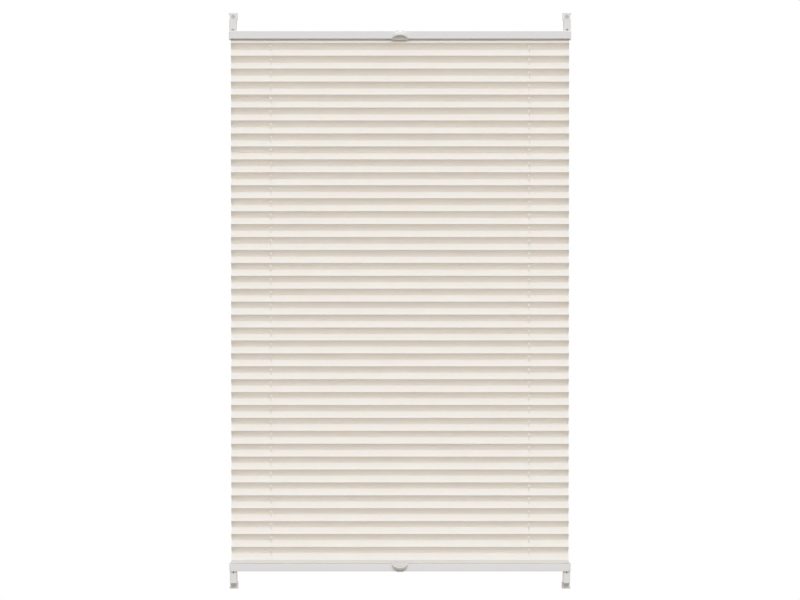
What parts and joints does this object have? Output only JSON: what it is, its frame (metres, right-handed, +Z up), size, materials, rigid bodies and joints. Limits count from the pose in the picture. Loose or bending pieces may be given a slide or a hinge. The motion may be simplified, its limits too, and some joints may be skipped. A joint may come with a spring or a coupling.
{
  "type": "pleated blind",
  "caption": "Pleated window blind whose two rails slide on taut cords between clamp brackets at the sash's top and bottom edges.",
  "frame": {"origin": "midway along the top edge of the window sash that the blind hangs on, on the face that looks into the room", "axes": "+X to the right as seen from the room, +Y from the room to the window, +Z up"},
  "size_m": [0.6018, 0.0561, 1.014],
  "materials": {
    "fabric": "pleated woven polyester, warm off-white",
    "white_paint": "white powder coat, satin",
    "cap_plastic": "white moulded plastic",
    "handle_plastic": "white moulded plastic, soft gloss",
    "bracket_plastic": "white moulded plastic, satin",
    "guide_plastic": "natural acetal",
    "clear_plastic": "extruded plastic",
    "cord": "braided polyester, white",
    "zinc_steel": "zinc plated",
    "rubber": "matt grey"
  },
  "bodies": {
    "root": {"pleated_fabric": "fabric", "tension_cord_left": "cord", "tension_cord_right": "cord", "clamp_carrier_top_right": "bracket_plastic", "tension_shoe_top_right": "bracket_plastic", "cord_stop_top_right": "guide_plastic", "front_pad_top_right": "rubber", "clamp_carrier_top_left": "bracket_plastic", "tension_shoe_top_left": "bracket_plastic", "cord_stop_top_left": "guide_plastic", "front_pad_top_left": "rubber", "clamp_carrier_bottom_right": "bracket_plastic", "tension_shoe_bottom_right": "bracket_plastic", "cord_stop_bottom_right": "guide_plastic", "front_pad_bottom_right": "rubber", "clamp_carrier_bottom_left": "bracket_plastic", "tension_shoe_bottom_left": "bracket_plastic", "cord_stop_bottom_left": "guide_plastic", "front_pad_bottom_left": "rubber"},
    "top_rail": {"top_rail": "white_paint", "top_fabric_strip": "clear_plastic", "top_handle": "handle_plastic", "end_cap_top_left": "cap_plastic", "end_cap_top_right": "cap_plastic", "cord_guide_top_left": "guide_plastic", "cord_guide_top_right": "guide_plastic"},
    "bottom_rail": {"bottom_rail": "white_paint", "bottom_fabric_strip": "clear_plastic", "bottom_handle": "handle_plastic", "end_cap_bottom_left": "cap_plastic", "end_cap_bottom_right": "cap_plastic", "cord_guide_bottom_left": "guide_plastic", "cord_guide_bottom_right": "guide_plastic"},
    "clamp_screw_top_right": {"clamp_screw_top_right": "zinc_steel"},
    "clamp_jaw_top_right": {"clamp_jaw_top_right": "zinc_steel", "jaw_pad_top_right": "rubber"},
    "clamp_screw_top_left": {"clamp_screw_top_left": "zinc_steel"},
    "clamp_jaw_top_left": {"clamp_jaw_top_left": "zinc_steel", "jaw_pad_top_left": "rubber"},
    "clamp_screw_bottom_right": {"clamp_screw_bottom_right": "zinc_steel"},
    "clamp_jaw_bottom_right": {"clamp_jaw_bottom_right": "zinc_steel", "jaw_pad_bottom_right": "rubber"},
    "clamp_screw_bottom_left": {"clamp_screw_bottom_left": "zinc_steel"},
    "clamp_jaw_bottom_left": {"clamp_jaw_bottom_left": "zinc_steel", "jaw_pad_bottom_left": "rubber"}
  },
  "joints": [
    {"name": "top_rail_slide", "type": "slide", "parent": "root", "child": "top_rail", "axis": [0, 0, 1], "range_m": [-0.876, 0], "deforming": ["pleated_fabric", "tension_cord_left", "tension_cord_right"]},
    {"name": "bottom_rail_slide", "type": "slide", "parent": "root", "child": "bottom_rail", "axis": [0, 0, 1], "range_m": [0, 0.876], "deforming": ["pleated_fabric", "tension_cord_left", "tension_cord_right"]},
    {"name": "clamp_screw_turn_top_right", "type": "hinge", "parent": "root", "child": "clamp_screw_top_right", "pos_m": [0.2932, 0.004, 0.0047], "axis": [0, 1, 0], "range_deg": [-1440, 1440]},
    {"name": "clamp_jaw_slide_top_right", "type": "slide", "parent": "root", "child": "clamp_jaw_top_right", "axis": [0, 1, 0], "range_m": [-0.0028, 0.0028]},
    {"name": "clamp_screw_turn_top_left", "type": "hinge", "parent": "root", "child": "clamp_screw_top_left", "pos_m": [-0.2932, 0.004, 0.0047], "axis": [0, 1, 0], "range_deg": [-1440, 1440]},
    {"name": "clamp_jaw_slide_top_left", "type": "slide", "parent": "root", "child": "clamp_jaw_top_left", "axis": [0, 1, 0], "range_m": [-0.0028, 0.0028]},
    {"name": "clamp_screw_turn_bottom_right", "type": "hinge", "parent": "root", "child": "clamp_screw_bottom_right", "pos_m": [0.2932, 0.004, -0.9957], "axis": [0, 1, 0], "range_deg": [-1440, 1440]},
    {"name": "clamp_jaw_slide_bottom_right", "type": "slide", "parent": "root", "child": "clamp_jaw_bottom_right", "axis": [0, 1, 0], "range_m": [-0.0028, 0.0028]},
    {"name": "clamp_screw_turn_bottom_left", "type": "hinge", "parent": "root", "child": "clamp_screw_bottom_left", "pos_m": [-0.2932, 0.004, -0.9957], "axis": [0, 1, 0], "range_deg": [-1440, 1440]},
    {"name": "clamp_jaw_slide_bottom_left", "type": "slide", "parent": "root", "child": "clamp_jaw_bottom_left", "axis": [0, 1, 0], "range_m": [-0.0028, 0.0028]}
  ],
  "couplings": [
    {"joint": "clamp_screw_turn_top_right", "follows": "clamp_jaw_slide_top_right", "rad_per_m": -8975.9},
    {"joint": "clamp_screw_turn_top_left", "follows": "clamp_jaw_slide_top_left", "rad_per_m": -8975.9},
    {"joint": "clamp_screw_turn_bottom_right", "follows": "clamp_jaw_slide_bottom_right", "rad_per_m": -8975.9},
    {"joint": "clamp_screw_turn_bottom_left", "follows": "clamp_jaw_slide_bottom_left", "rad_per_m": -8975.9}
  ]
}
